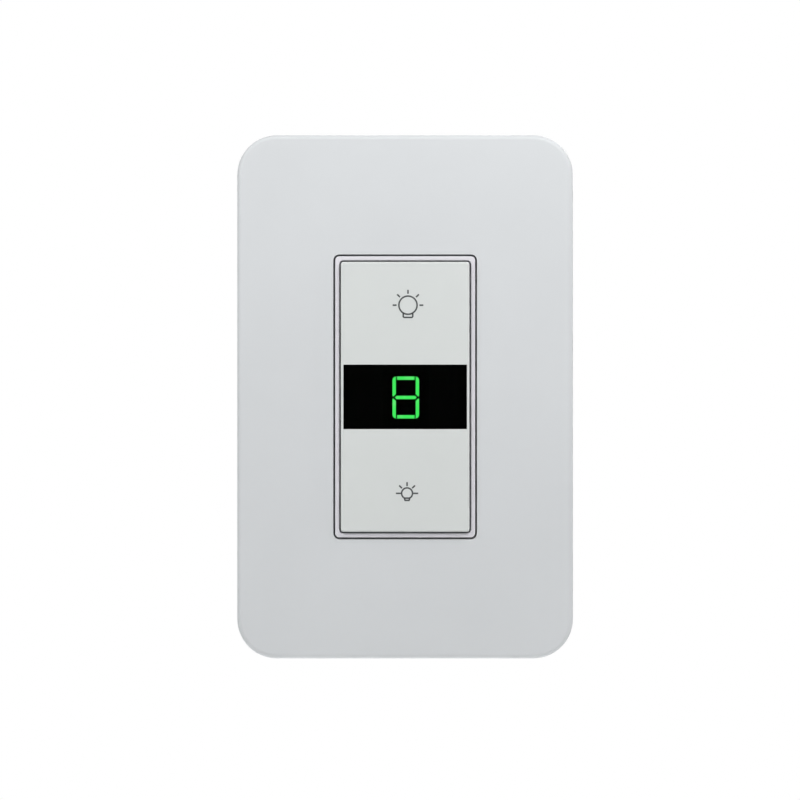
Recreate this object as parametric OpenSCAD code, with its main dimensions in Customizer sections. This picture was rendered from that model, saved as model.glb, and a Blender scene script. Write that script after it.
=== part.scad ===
// Digital dimmer switch for one gang: a screwless wall plate, a rocking paddle with a smoked
// window over a one-digit display, and the dimmer body that sits in the wall box.
// The wall is the plane y = 0 and the front faces -Y. +Z is up, and the origin lies midway
// between the two box screws. Sizes are in millimetres.

/* [Wall plate] */
// Width of the clip-on wall plate
plate_w = 79.5; // [78:0.5:92]
// How far the wall plate reaches past each end of the strap
plate_end = 8.95; // [8:0.05:17]
// How far the wall plate stands off the wall
plate_d = 6.5; // [6.2:0.1:8]
// Thickness of the wall plate's moulding
plate_wall = 1.6; // [1.3:0.1:1.8]
// Radius of the wall plate's four corners, seen from the front
plate_corner_r = 9.4; // [6:0.1:11]
// Rounding of the wall plate's front edge
plate_edge_r = 1.1; // [0.5:0.1:1.5]
// Clear gap all round between the wall plate's opening and the front frame
opening_gap = 0.45; // [0.2:0.05:0.6]
// Width of the lip that stiffens the wall plate's opening from behind
lip_w = 1; // [0.8:0.1:1.2]
// Depth of that lip behind the front wall
lip_d = 1.5; // [1:0.1:2]
// Width of the notch in the bottom edge, where the wall plate is prised off
pry_w = 9; // [6:0.5:14]
// Depth of the notch, measured off the wall
pry_d = 1.4; // [1:0.1:2]

/* [Sub-plate] */
// Thickness of the sub-plate that the wall plate snaps onto
sub_wall = 1.5; // [1.2:0.1:1.6]
// Clearance between the sub-plate's rim and the inside of the wall plate
sub_side_gap = 0.9; // [0.8:0.1:1.2]
// Clearance between the sub-plate's front and the back of the wall plate's front wall
sub_front_gap = 0.4; // [0.2:0.1:0.5]
// Clearance between the sub-plate's opening and the wall plate's lip
sub_lip_gap = 0.3; // [0.2:0.1:0.6]
// Length of each snap catch along the rim
catch_l = 8; // [5:0.5:11]
// How far each catch stands out
catch_out = 0.7; // [0.5:0.05:0.75]
// Thickness of each catch, measured off the wall
catch_t = 0.9; // [0.7:0.1:1.1]
// Width of the slits that let a catch flex
slit_w = 1; // [0.8:0.1:1.4]

/* [Mounting strap] */
// Thickness of the aluminium strap
strap_t = 1.5; // [1.2:0.1:1.6]
// Distance between the two box screws
box_screw_pitch = 83.34; // [83.2:0.02:83.5]
// Distance from each box screw to the strap's end
box_screw_in = 11.33; // [10.5:0.01:12]
// Distance from each box screw to the sub-plate's screw beyond it
screw_step = 6.75; // [6.7:0.01:6.9]
// How far the strap's wide middle reaches past each end of the housing
strap_past = 1.5; // [1:0.25:2.5]
// Width of the strap's ears
ear_w = 34; // [30:0.5:38]
// Diameter of the holes for the box screws
box_hole_d = 4; // [3.8:0.1:4.2]
// Diameter of the hole at each corner of the ears
ear_hole_d = 4.4; // [4:0.1:4.8]
// Distance of that hole from the ear's side
ear_hole_side = 5; // [4:0.1:6]
// Distance of that hole from the strap's end
ear_hole_in = 6.5; // [5:0.1:8]
// Width of the slot that leads from that hole to the strap's end
ear_slot_w = 1.2; // [1:0.1:1.6]
// Diameter of the tapped holes and their screws
tapped_d = 3.5; // [3.2:0.1:3.7]
// Length of the tab folded back as a heat sink
tab_l = 17; // [16:0.5:19]
// Width of that tab
tab_w = 12.6; // [11:0.2:13]
// Radius inside each fold
fold_r = 0.5; // [0.4:0.1:0.6]

/* [Front frame] */
// Width of the front frame, a standard rectangular device face
frame_w = 33.1; // [33:0.1:34]
// Height of the front frame
frame_h = 66.5; // [66:0.1:68]
// Width of the frame's rim round the paddle
frame_rim = 1; // [0.8:0.1:1.2]
// Thickness of the frame's floor
frame_floor = 1.6; // [1.2:0.1:1.8]
// How far the frame stands in front of the wall plate
frame_proud = 0.4; // [0.2:0.1:0.6]
// Corner radius of the frame
frame_corner_r = 1; // [0.8:0.1:2.2]
// Thickness of the two posts that carry the paddle
post_t = 1.6; // [1.4:0.1:1.8]
// Clearance round whatever passes through the frame and the strap
pass_gap = 0.5; // [0.3:0.1:0.7]

/* [Paddle] */
// Gap all round between the paddle and the frame
paddle_gap = 0.35; // [0.32:0.01:0.45]
// How far the paddle stands in front of the frame
paddle_proud = 1; // [0.6:0.1:1.2]
// Thickness of the paddle's front wall
paddle_wall = 1.5; // [1.3:0.1:1.6]
// Thickness of the paddle's skirt
skirt_t = 1; // [0.8:0.1:1.1]
// Corner radius of the paddle
paddle_corner_r = 0.6; // [0.55:0.05:1.2]
// Rounding of the paddle's front edge
paddle_edge_r = 0.4; // [0.3:0.05:0.5]
// Greatest tilt of the paddle each way, in degrees
tilt = 2; // [1:0.1:2.2]
// Diameter of the two pivot pins
pin_d = 2; // [1.6:0.1:2.2]
// Running clearance between each pin and its bore
pin_clear = 0.05; // [0.03:0.01:0.08]
// Height of the pivot in front of the frame's floor
pivot_up = 1.3; // [1.2:0.05:1.4]
// Thickness of the stiffening ribs inside the paddle
rib_t = 1; // [0.8:0.1:1.2]

/* [Display] */
// Width of the smoked window
lens_w = 29.2; // [26:0.1:29.4]
// Height of the smoked window
lens_h = 15.25; // [14:0.05:18]
// Width of the flange behind the window
lens_flange_w = 23; // [18:0.5:23.5]
// Overlap of the flange behind the paddle, above and below
lens_flange_lap = 1.5; // [1:0.1:2]
// Thickness of that flange
lens_flange_t = 0.6; // [0.4:0.1:0.7]
// Width of the display module
display_w = 10; // [8:0.1:10.6]
// Height of the display module
display_h = 13; // [12:0.1:13.4]
// Width of the digit
digit_w = 6.3; // [5:0.1:7.4]
// Height of the digit
digit_h = 9.95; // [8:0.05:11]
// Width of a lit bar
bar_w = 0.8; // [0.7:0.02:1.2]
// Hairline between two lit bars
bar_gap = 0.28; // [0.1:0.01:0.3]
// Depth of the light bars in the module
bar_d = 0.6; // [0.4:0.1:0.9]

/* [Push switches] */
// Distance of each switch from the ends of the front frame
switch_end = 13.25; // [13.15:0.05:13.65]
// Width and height of a switch case
case_w = 6.2; // [6:0.1:6.4]
// Thickness of a case's walls at its front
case_wall = 0.8; // [0.6:0.1:0.9]
// Diameter of a plunger
plunger_d = 3; // [2.6:0.1:3.2]
// Sliding clearance round a plunger
plunger_clear = 0.04; // [0.02:0.01:0.08]
// Diameter of the collar that keeps a plunger in its case
collar_d = 4.4; // [4.2:0.1:4.5]
// Gap between a plunger and the paddle's foot
foot_gap = 0.05; // [0.04:0.01:0.08]
// Diameter of a spring's wire
wire_d = 0.3; // [0.2:0.05:0.35]
// Full turns of a spring
spring_turns = 4; // [3:1:5]

/* [Circuit boards] */
// Thickness of both boards
board_t = 1.6; // [1.2:0.1:1.6]
// Distance of the control board behind the wall plane
board_y = 2; // [1.8:0.1:2.4]
// Gap between the control board and the housing's side walls
board_gap = 0.65; // [0.4:0.05:1]
// Gap between both boards and the tubes above and below them
tube_gap = 0.6; // [0.4:0.1:1]
// Distance of the power board behind the wall plane
power_y = 22; // [21:0.5:22.5]
// Gap between the power board and the terminal pockets
power_gap = 0.6; // [0.4:0.1:0.8]
// Gap between neighbouring parts on the power board
part_gap = 0.8; // [0.5:0.1:1]
// Width of the board's tongue under the triac
tongue_w = 12; // [10:0.5:13]
// Clearance round each lead in a board
lead_gap = 0.1; // [0.05:0.05:0.2]

/* [Rear housing] */
// Width of the housing and of the strap's middle
body_w = 44.5; // [44.5:0.5:46]
// How far the housing reaches past each end of the front frame
body_past = 1.75; // [1.5:0.05:2.5]
// Depth of the housing behind the wall plane
body_d = 30; // [29.5:0.5:34]
// Thickness of the housing's walls
body_wall = 1.6; // [1.4:0.1:1.8]
// Corner radius of the housing
body_corner_r = 3; // [2:0.5:4]
// Rounding of the housing's rear edge
body_edge_r = 1; // [0.5:0.1:1.4]
// Thickness of the insulating sheet
sheet_t = 0.4; // [0.2:0.1:0.5]
// Gap between the heat-sink tab and the tubes of the housing screws
post_gap = 1.1; // [0.8:0.1:1.3]
// Distance of the housing screws from the ends of the front frame
post_end = 5.45; // [5.2:0.05:5.8]
// Diameter of a housing screw
long_screw_d = 2.5; // [2.2:0.1:2.8]
// Diameter of a housing screw's head
long_head_d = 5; // [4.4:0.1:5.4]
// Depth of the screwed part of the housing's posts
post_seat = 8; // [6:0.5:12]
// Diameter of the tubes round the housing screws
tube_d = 7.6; // [7.2:0.1:7.8]

/* [Terminals] */
// Height of each terminal above and below the middle
terminal_z = 12; // [11.8:0.1:12.4]
// Width of a terminal pocket
pocket_w = 10.4; // [9.8:0.1:11]
// Depth of a terminal pocket from the housing's side
pocket_in = 4.75; // [4.75:0.05:5]
// Thickness of the terminal strips
strip_t = 1; // [0.8:0.1:1]
// Diameter of a terminal screw
terminal_screw_d = 3.4; // [3:0.1:3.5]
// Diameter of a terminal screw's head
terminal_head_d = 7.2; // [6.4:0.1:7.6]

/* [Hidden] */
$fn = 48;
cut = 0.5; // how far a cutting shape runs past a face

// Layers from the front to the back
plate_front = -plate_d;
plate_back = plate_front + plate_wall;
sub_front = plate_back + sub_front_gap;
sub_back = sub_front + sub_wall;
strap_front = -strap_t;
floor_front = strap_front - frame_floor;
frame_front = plate_front - frame_proud;
paddle_front = frame_front - paddle_proud;
paddle_back = paddle_front + paddle_wall;
pivot_y = floor_front - pivot_up;
board_back = board_y + board_t;
power_back = power_y + board_t;
body_end = sheet_t + body_d;
body_floor = body_end - body_wall;

// Heights that follow the front frame and the box screws
body_h = frame_h + 2 * body_past;
strap_w = body_w;
strap_mid_h = body_h + 2 * strap_past;
strap_h = box_screw_pitch + 2 * box_screw_in;
plate_screw_pitch = box_screw_pitch + 2 * screw_step;
plate_h = strap_h + 2 * plate_end;
post_x = tab_w / 2 + post_gap + tube_d / 2;
post_z = frame_h / 2 - post_end;
switch_z = frame_h / 2 - switch_end;

// The wall plate, its opening and the sub-plate behind it
opening_w = frame_w + 2 * opening_gap;
opening_h = frame_h + 2 * opening_gap;
opening_r = frame_corner_r + opening_gap;
inside_w = plate_w - 2 * plate_wall;
inside_h = plate_h - 2 * plate_wall;
inside_r = plate_corner_r - plate_wall;
inside_edge_r = 0.5;
sub_w = inside_w - 2 * sub_side_gap;
sub_h = inside_h - 2 * sub_side_gap;
sub_r = inside_r - sub_side_gap;
sub_open_w = opening_w + 2 * (lip_w + sub_lip_gap);
sub_open_h = opening_h + 2 * (lip_w + sub_lip_gap);
ledge_y = -1.2 - catch_t;
catch_y = ledge_y - 0.2 - catch_t;
catch_x = 20;
catch_z = 36;
head_d = 6.2;
head_h = 1.35;
screw_slot = 0.8;
plate_screw_l = 8;
box_head_slot_w = 7;
box_head_slot_l = 10;

// The paddle inside the front frame
frame_in_w = frame_w - 2 * frame_rim;
frame_in_h = frame_h - 2 * frame_rim;
frame_in_r = paddle_corner_r + paddle_gap;
frame_edge_r = 0.25;
paddle_w = frame_in_w - 2 * paddle_gap;
paddle_h = frame_in_h - 2 * paddle_gap;
stop_gap = 0.12;
skirt_back = floor_front - paddle_h / 2 * sin(tilt) - stop_gap;
lug_back = floor_front - 0.15;
lug_h = 4.8;
post_in = paddle_w / 2 - skirt_t - 0.3 - post_t;
post_top_r = 1.8;
boss_wall = 1.15;
boss_up = 1.5;
boss_bore = 1;
foot_r = 1;
foot_w = 5;
rib_x = 6.5;
lens_hold = 0.02;

// The display behind the window
display_front = paddle_back + lens_flange_t + 0.6;
display_hole_w = display_w + 2 * pass_gap;
display_hole_h = display_h + 2 * pass_gap;
display_place = [0.15, -0.15];
display_pin_w = 0.5;
display_pin_pitch = 1.8;
display_pin_in = 1.4;

// The push switches under the paddle's feet
switch_hole = case_w + 2 * pass_gap;
foot_tip = paddle_back + foot_r;
plunger_top = foot_tip + foot_gap;
travel = switch_z * sin(tilt);
case_front = plunger_top + travel + 0.75;
case_in = case_front + case_wall;
collar_front = case_in + travel + 0.15;
collar_t = 0.6;
spring_back = board_y - 0.8;
spring_front = collar_front + collar_t;
spring_r = 1.5;
guide_d = 1.9;
leg_d = 0.6;
leg_in = 0.6;
leg_z = 2.2;

// The strap's corners, its heat-sink tab and the triac on that
strap_corner_r = 2.5;
ear_corner_r = 3;
screw_room = 0.8;
tab_side = 0.4;
fold_lap = 0.3;
tab_in = 4.5;
tab_z = body_h / 2 - tab_in;
tab_window_z = tab_z - tab_l;
tab_screw_y = 6.2;
pad_t = 0.3;
triac_w = 10;
triac_plate_t = 1.3;
triac_body_t = 3.1;
triac_front = 3;
triac_split = 9.4;
triac_back = 18.6;
triac_cover = 0.4;
triac_lead_in = 1.5;
triac_z = tab_z - pad_t - triac_plate_t;
lead_z = triac_z - triac_lead_in;
lead_pitch = 2.54;
lead_out = 1;
lead_end = power_back + lead_out;
triac_lead_w = 0.8;
triac_hole_d = 3.8;
m3_d = 3;

// The ground screw's tab at the lower left corner
ground_in = 4.5;
ground_z = ground_in - body_h / 2;
ground_h = 8;
ground_l = 11;
ground_y = 5.6;
ground_pocket = 5.4;
ground_head_d = 6.6;
ground_head_t = 2;
ground_screw_l = 4.6;

// The housing, its pockets and ledges
pocket_wall = 1.4;
pocket_front = 5.6;
strip_x = body_w / 2 - pocket_in;
terminal_y = 10;
strip_back = 15;
ledge_w = 2.4;
ledge_lap = 0.8;
ledge_end = 2.2;
leg_w = 3;
leg_edge = 1.9;
slot_w = leg_w + 0.6;
pocket_out_w = pocket_w + 2 * pocket_wall;
ground_top = ground_z + ground_h / 2 + 1 + body_h / 2;
ground_room = ground_l + 3;
stand_d = 3.6;
stand_side = 4.5;
stand_end = 2.9;
plate_l = 8.4;
clamp_w = 8;
clamp_t = 1.1;
clamp_x = strip_x + strip_t + 0.3;
terminal_head_t = 1.8;
terminal_screw_l = 6;
terminals = [[1, terminal_z], [1, -terminal_z], [-1, terminal_z]];

// Both boards, and what carries them
board_w = body_w - 2 * (body_wall + board_gap);
board_h = 2 * (post_z - tube_d / 2 - tube_gap);
power_w = 2 * (strip_x - pocket_wall - power_gap);
leg_x = power_w / 2 - leg_edge;
leg_inner = leg_x - strip_t - part_gap / 2;
ledge_in = board_w / 2 - ledge_lap;
ledge_z = board_h / 2 - ledge_end;
stand_x = power_w / 2 - stand_side;
stand_z = board_h / 2 - stand_end;

// The fuse on the power board, and how high its row of parts lies
row_z = 4.6;
fuse_d = 4;
fuse_l = 10;

// The film capacitor at the lower right, and the choke that fills the room beside it
film_low = 4.7;
film_size = [7.5, 13, row_z - fuse_l / 2 - part_gap + board_h / 2 - film_low];
film_place = [leg_inner - film_size[0] / 2, (film_size[2] - board_h) / 2 + film_low];
choke_wire_d = 0.9;
choke_wire_gap = 0.05;
choke_step = 1.2;
choke_low = 1.4;
choke_out = min(
    leg_inner - film_size[0] - part_gap + power_w / 2,
    row_z - fuse_l / 2 - part_gap + board_h / 2 - choke_low
) / 2;
core_share = 0.27;
core_r = (choke_out - choke_wire_d - choke_wire_gap) * core_share;
choke_r = choke_out - choke_wire_d - choke_wire_gap - core_r;
choke_x = choke_out - power_w / 2;
choke_y = power_y - core_r - choke_wire_gap - choke_wire_d;
choke_z = choke_out - board_h / 2 + choke_low;
choke_turns = floor(2 * PI * (choke_r - core_r - choke_wire_gap - choke_wire_d / 2) / choke_step);

// The can, the varistor and the fuse in a row above them
can_d = 10;
can_l = 12.5;
can_groove_r = 0.6;
can_x = can_d / 2 - leg_inner;
varistor_d = 9.2;
varistor_t = 3.6;
varistor_edge_r = 1;
varistor_x = can_x + (can_d + varistor_t) / 2 + part_gap;
fuse_x = varistor_x + (varistor_t + fuse_d) / 2 + part_gap;

// The header that joins the boards, and the chip on the control board
header_count = 4;
header_w = 2.5;
header_pin_w = 0.64;
header_edge = 0.3;
header_room = 0.45;
header_l = header_count * lead_pitch;
header_x = (header_l - power_w) / 2 + header_edge;
header_z = terminal_z + leg_w / 2 + header_room + header_w / 2;
chip_side = 11;
chip_place = [board_w / 2 - chip_side, 10.6];
chip_w = 4;
chip_h = 9;
chip_t = 1.4;
chip_lead_pitch = 1.27;

// Depth along Y for an outline drawn in the wall plane
module deep(y0, y1) {
    translate([0, y1, 0]) rotate([90, 0, 0]) linear_extrude(y1 - y0) children();
}

// A bar along X for an outline drawn with its first axis along Y and its second along Z
module across(x0, x1) {
    translate([x0, 0, 0]) rotate([90, 0, 90]) linear_extrude(x1 - x0) children();
}

// A round bar along Y
module round_y(d, y0, y1) translate([0, y0, 0]) rotate([-90, 0, 0]) cylinder(d = d, h = y1 - y0);

// A round bar along X
module round_x(d, x0, x1) translate([x0, 0, 0]) rotate([0, 90, 0]) cylinder(d = d, h = x1 - x0);

// A rectangle with rounded corners
module panel(w, h, r) {
    square([w - 2 * r, h], center = true);
    square([w, h - 2 * r], center = true);
    for (sx = [-1, 1], sz = [-1, 1])
        translate([sx * (w / 2 - r), sz * (h / 2 - r)]) circle(r);
}

// A section swept round a rectangle with corner radius r. The section's first axis runs out
// from the corner's centre, and its second is Y.
module sweep_round(w, h, r) {
    for (k = [0:3]) {
        out = k % 2 == 0 ? w / 2 - r : h / 2 - r;
        along = k % 2 == 0 ? h - 2 * r : w - 2 * r;
        rotate([0, -90 * k, 0]) {
            translate([out, 0, -along / 2]) linear_extrude(along) children();
            translate([out, 0, along / 2])
                rotate([-90, 0, 0]) rotate([0, 0, -90]) rotate_extrude(angle = 90) children();
        }
    }
}

// A block with rounded corners whose edge at y0 is rounded too
module soft_block(w, h, r, edge, y0, y1) {
    sweep_round(w, h, r) {
        translate([0, y0]) square([r - edge, y1 - y0]);
        translate([0, y0 + edge]) square([r, y1 - y0 - edge]);
        intersection() {
            translate([r - edge, y0 + edge]) circle(edge);
            translate([r - edge, y0]) square(edge);
        }
    }
    deep(y0, y1) square([w - 2 * r, h - 2 * r], center = true);
}

// Places of the snap catches: four on the ends and four on the sides, drawn pointing to +X
module at_catches(w, h) {
    for (sx = [-1, 1], sz = [-1, 1]) {
        translate([sx * catch_x, 0, sz * h / 2]) rotate([0, -90 * sz, 0]) children();
        translate([sx * w / 2, 0, sz * catch_z]) rotate([0, 90 - 90 * sx, 0]) children();
    }
}

module at_housing_screws() {
    for (sx = [-1, 1], sz = [-1, 1]) translate([sx * post_x, 0, sz * post_z]) children();
}

module wall_plate() {
    color([0.88, 0.88, 0.88]) {
        difference() {
            union() {
                difference() {
                    soft_block(plate_w, plate_h, plate_corner_r, plate_edge_r, plate_front, 0);
                    soft_block(inside_w, inside_h, inside_r, inside_edge_r, plate_back, cut);
                }
                deep(plate_back - 0.2, plate_back + lip_d)
                    panel(opening_w + 2 * lip_w, opening_h + 2 * lip_w, opening_r + lip_w);
                at_catches(inside_w, inside_h)
                    translate([-catch_out, ledge_y, -catch_l / 2])
                        cube([catch_out + 0.2, catch_t, catch_l]);
            }
            deep(plate_front - cut, cut) panel(opening_w, opening_h, opening_r);
            translate([-pry_w / 2, -pry_d, -plate_h / 2 - cut])
                cube([pry_w, pry_d + cut, plate_wall + 2 * cut]);
        }
    }
}

// One slot from the opening to the box screw, and a sunk seat for the plate screw
module sub_plate() {
    color([0.8, 0.8, 0.8])
    difference() {
        union() {
            difference() {
                soft_block(sub_w, sub_h, sub_r, inside_edge_r, sub_front, 0);
                deep(sub_back, cut)
                    panel(sub_w - 2 * sub_wall, sub_h - 2 * sub_wall, sub_r - sub_wall);
            }
            for (sz = [-1, 1])
                translate([0, 0, sz * plate_screw_pitch / 2])
                    round_y(head_d + 1.4, sub_back - 0.2, strap_front);
            at_catches(sub_w, sub_h)
                translate([-0.2, catch_y, -catch_l / 2])
                    cube([catch_out + 0.2, catch_t, catch_l]);
        }
        deep(sub_front - cut, sub_back + cut) panel(sub_open_w, sub_open_h, opening_r + lip_w);
        for (sz = [-1, 1]) {
            deep(sub_front - cut, cut) {
                translate([0, sz * box_screw_pitch / 2]) circle(d = box_head_slot_w);
                translate([0, sz * (box_screw_pitch - box_head_slot_l) / 2])
                    square([box_head_slot_w, box_head_slot_l], center = true);
            }
            translate([0, 0, sz * plate_screw_pitch / 2]) {
                round_y(tapped_d + 0.2, sub_front - cut, cut);
                translate([0, sub_front, 0]) rotate([-90, 0, 0])
                    cylinder(d1 = head_d + 0.1, d2 = tapped_d + 0.2, h = head_h);
            }
        }
        at_catches(sub_w, sub_h)
            for (s = [-1, 1])
                translate([-sub_wall - cut, sub_back, s * (catch_l / 2 + slit_w / 2) - slit_w / 2])
                    cube([sub_wall + 2 * cut, cut - sub_back, slit_w]);
    }
}

// A countersunk screw along +Y with its head's face at y = 0
module sunk_screw(l) {
    difference() {
        union() {
            rotate([-90, 0, 0]) cylinder(d1 = head_d, d2 = tapped_d - 0.1, h = head_h);
            round_y(tapped_d - 0.1, 0, l);
        }
        translate([-head_d / 2, -cut, -screw_slot / 2]) cube([head_d, cut + 0.7, screw_slot]);
    }
}

module plate_screws() {
    color([0.72, 0.72, 0.73])
    for (sz = [-1, 1])
        translate([0, sub_front + 0.05, sz * plate_screw_pitch / 2]) sunk_screw(plate_screw_l);
}

// A fold between the strap and a tab: the strap comes along the first axis, the tab leaves
// along the second, and the corner outside the fold lies at the origin
module fold_section(l) {
    outer = fold_r + strap_t;
    difference() {
        intersection() {
            translate([outer, outer]) circle(outer);
            square([outer, outer]);
        }
        translate([outer, outer]) circle(fold_r);
    }
    translate([outer, 0]) square([fold_lap, strap_t]);
    translate([0, outer]) square([strap_t, l - outer]);
}

module strap_outline() {
    difference() {
        union() {
            panel(strap_w, strap_mid_h, strap_corner_r);
            panel(ear_w, strap_h, ear_corner_r);
        }
        for (sz = [-1, 1]) {
            translate([0, sz * box_screw_pitch / 2]) circle(d = box_hole_d);
            translate([0, sz * plate_screw_pitch / 2]) circle(d = tapped_d);
            for (sx = [-1, 1]) {
                translate([sx * (ear_w / 2 - ear_hole_side), sz * (strap_h / 2 - ear_hole_in)]) {
                    circle(d = ear_hole_d);
                    translate([0, sz * (ear_hole_in + cut) / 2])
                        square([ear_slot_w, ear_hole_in + cut], center = true);
                }
                translate([sx * post_x, sz * post_z]) circle(d = long_screw_d + screw_room);
            }
        }
        display_hole();
        translate([0, -switch_z]) square(switch_hole, center = true);
        translate([-tab_w / 2 - tab_side, tab_window_z])
            square([tab_w + 2 * tab_side, tab_z + fold_r + strap_t - tab_window_z]);
        translate([-strap_w / 2 - cut, ground_z - ground_h / 2 - tab_side])
            square([fold_r + strap_t + cut, ground_h + 2 * tab_side]);
    }
}

module strap() {
    color([0.77, 0.78, 0.8]) {
        difference() {
            union() {
                deep(strap_front, 0) strap_outline();
                translate([0, strap_front, tab_z])
                    across(-tab_w / 2, tab_w / 2)
                        mirror([1, -1]) fold_section(tab_l + strap_t);
                translate([-strap_w / 2, strap_front, ground_z - ground_h / 2])
                    linear_extrude(ground_h) fold_section(ground_l + strap_t);
            }
            translate([0, tab_screw_y, tab_z - cut]) cylinder(d = m3_d + 0.1, h = strap_t + 2 * cut);
            translate([0, ground_y, ground_z])
                round_x(tapped_d, -strap_w / 2 - cut, -strap_w / 2 + strap_t + cut);
        }
    }
}

// A pan-head screw along +X with the underside of its head at x = 0
module side_screw(d, head, head_t, l) {
    difference() {
        union() {
            round_x(d, -0.1, l);
            round_x(head - 0.6, -head_t, -head_t + 0.4);
            round_x(head, -head_t + 0.4, 0);
        }
        translate([-head_t - cut, -screw_slot / 2, -head / 2]) cube([cut + 0.9, screw_slot, head]);
    }
}

module ground_screw() {
    color([0.2, 0.55, 0.3])
    translate([-strap_w / 2, ground_y, ground_z])
        side_screw(tapped_d - 0.1, ground_head_d, ground_head_t, ground_screw_l);
}

// What rounding takes away along the inner edge of the frame's rim
module rim_flare(w, h) {
    r = frame_in_r + frame_edge_r;
    sweep_round(w, h, r) difference() {
        translate([frame_in_r - cut, frame_front - cut]) square([frame_edge_r + cut, frame_edge_r + cut]);
        translate([r, frame_front + frame_edge_r]) circle(frame_edge_r);
    }
}

// The tray under the paddle, with its rim, bearing posts and screw bosses
module front_frame() {
    color([0.84, 0.85, 0.85]) {
        difference() {
            union() {
                difference() {
                    soft_block(
                        frame_w, frame_h, frame_corner_r, frame_edge_r, frame_front, strap_front
                    );
                    deep(frame_front - cut, floor_front) panel(frame_in_w, frame_in_h, frame_in_r);
                    rim_flare(frame_in_w + 2 * frame_edge_r, frame_in_h + 2 * frame_edge_r);
                }
                at_housing_screws()
                    round_y(long_screw_d + 2 * boss_wall, floor_front - boss_up, floor_front + 0.1);
                for (s = [0, 1]) mirror([s, 0, 0])
                    across(post_in, post_in + post_t) {
                        translate([pivot_y, 0]) circle(post_top_r);
                        translate([pivot_y, -post_top_r])
                            square([floor_front - pivot_y + 0.1, 2 * post_top_r]);
                    }
            }
            translate([0, pivot_y, 0]) round_x(pin_d + 2 * pin_clear, -frame_in_w / 2, frame_in_w / 2);
            at_housing_screws() round_y(long_screw_d, floor_front - boss_bore, cut);
            deep(floor_front - cut, cut) {
                display_hole();
                for (sz = [-1, 1]) translate([0, sz * switch_z]) square(switch_hole, center = true);
            }
        }
    }
}

module insulating_sheet() {
    color([0.45, 0.33, 0.2])
    deep(0, sheet_t) difference() {
        panel(body_w, body_h, body_corner_r);
        display_hole();
        translate([0, -switch_z]) square(switch_hole, center = true);
        translate([-tab_w / 2 - tab_side, switch_z - switch_hole / 2])
            square([tab_w + 2 * tab_side, tab_z + strap_t + fold_r + 0.3 - switch_z + switch_hole / 2]);
        for (sx = [-1, 1], sz = [-1, 1])
            translate([sx * post_x, sz * post_z]) circle(d = long_screw_d + screw_room);
        translate([-body_w / 2 - cut, -body_h / 2 - cut])
            square([ground_pocket + cut, ground_z + ground_h / 2 + 1 + body_h / 2 + cut]);
    }
}

module at_display() translate([display_place[0], 0, display_place[1]]) children();

// The opening for the display through the frame, the strap and the sheet
module display_hole() translate(display_place) square([display_hole_w, display_hole_h], center = true);

// Outlines of the digit's seven bars
module digit_bars() {
    side_in = digit_w / 2 - bar_w;
    tip = side_in + bar_w * 0.3;
    bevel = tip + 2 * bar_gap;
    for (sz = [-1, 1]) {
        translate([0, sz * (digit_h / 2 - bar_w / 2)])
            square([2 * (side_in - bar_gap), bar_w], center = true);
        for (sx = [-1, 1])
            intersection() {
                panel(digit_w, digit_h, bar_w * 1.15);
                polygon([
                    [sx * side_in, sz * digit_h / 2],
                    [sx * digit_w / 2, sz * digit_h / 2],
                    [sx * digit_w / 2, sz * bar_gap],
                    [sx * (bevel - bar_gap), sz * bar_gap],
                    [sx * side_in, sz * (bevel - side_in)]
                ]);
            }
    }
    polygon([
        for (s = [-1, 1]) each [
            [s * (tip - bar_w / 2), s * -bar_w / 2],
            [s * tip, 0],
            [s * (tip - bar_w / 2), s * bar_w / 2]
        ]
    ]);
}

module display_case() {
    color([0.13, 0.13, 0.14])
    at_display()
        difference() {
            deep(display_front, board_y) square([display_w, display_h], center = true);
            deep(display_front - cut, display_front + bar_d) digit_bars();
        }
}

module display_segments() {
    color([0.28, 0.94, 0.38])
    at_display() deep(display_front, display_front + bar_d) digit_bars();
}

// Ten pins in two rows above and below the digit
module at_display_pins() {
    at_display()
        for (sz = [-1, 1], k = [-2:2])
            translate([k * display_pin_pitch, 0, sz * (display_h / 2 - display_pin_in)]) children();
}

module square_pin(w, y0, y1) translate([-w / 2, y0, -w / 2]) cube([w, y1 - y0, w]);

module display_pins() {
    color([0.8, 0.8, 0.78]) at_display_pins() square_pin(display_pin_w, board_y, board_back + lead_out);
}

module at_header_pins() {
    for (k = [0:header_count - 1])
        translate([header_x + (k - (header_count - 1) / 2) * lead_pitch, 0, header_z]) children();
}

module at_switch_legs() {
    for (sz = [-1, 1], sx = [-1, 1], s = [-1, 1])
        translate([sx * (case_w / 2 - leg_in), 0, sz * switch_z + s * leg_z]) children();
}

module control_board() {
    color([0.1, 0.4, 0.25])
    difference() {
        deep(board_y, board_back) panel(board_w, board_h, 1);
        at_display_pins() square_pin(display_pin_w + 2 * lead_gap, board_y - cut, board_back + cut);
        at_switch_legs() square_pin(leg_d + 2 * lead_gap, board_y - cut, board_back + cut);
        at_header_pins() square_pin(header_pin_w + 2 * lead_gap, board_y - cut, board_back + cut);
    }
}

// A flat microcontroller with leads on two sides
module control_chip() {
    color([0.16, 0.16, 0.17])
    translate([chip_place[0], board_back, chip_place[1]]) {
        translate([-chip_w / 2, 0.1, -chip_h / 2]) cube([chip_w, chip_t, chip_h]);
        for (k = [-3:3])
            translate([-chip_w / 2 - 1.5, 0, k * chip_lead_pitch - 0.2]) cube([chip_w + 3, 0.6, 0.4]);
    }
}

module switch_case(z) {
    color([0.18, 0.18, 0.2])
    translate([0, 0, z]) difference() {
        deep(case_front, board_y) panel(case_w, case_w, 0.5);
        round_y(plunger_d + 2 * plunger_clear, case_front - cut, case_in + cut);
        round_y(collar_d + 0.4, case_in, spring_back);
    }
}

module upper_switch_case() switch_case(switch_z);

module lower_switch_case() switch_case(-switch_z);

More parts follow.
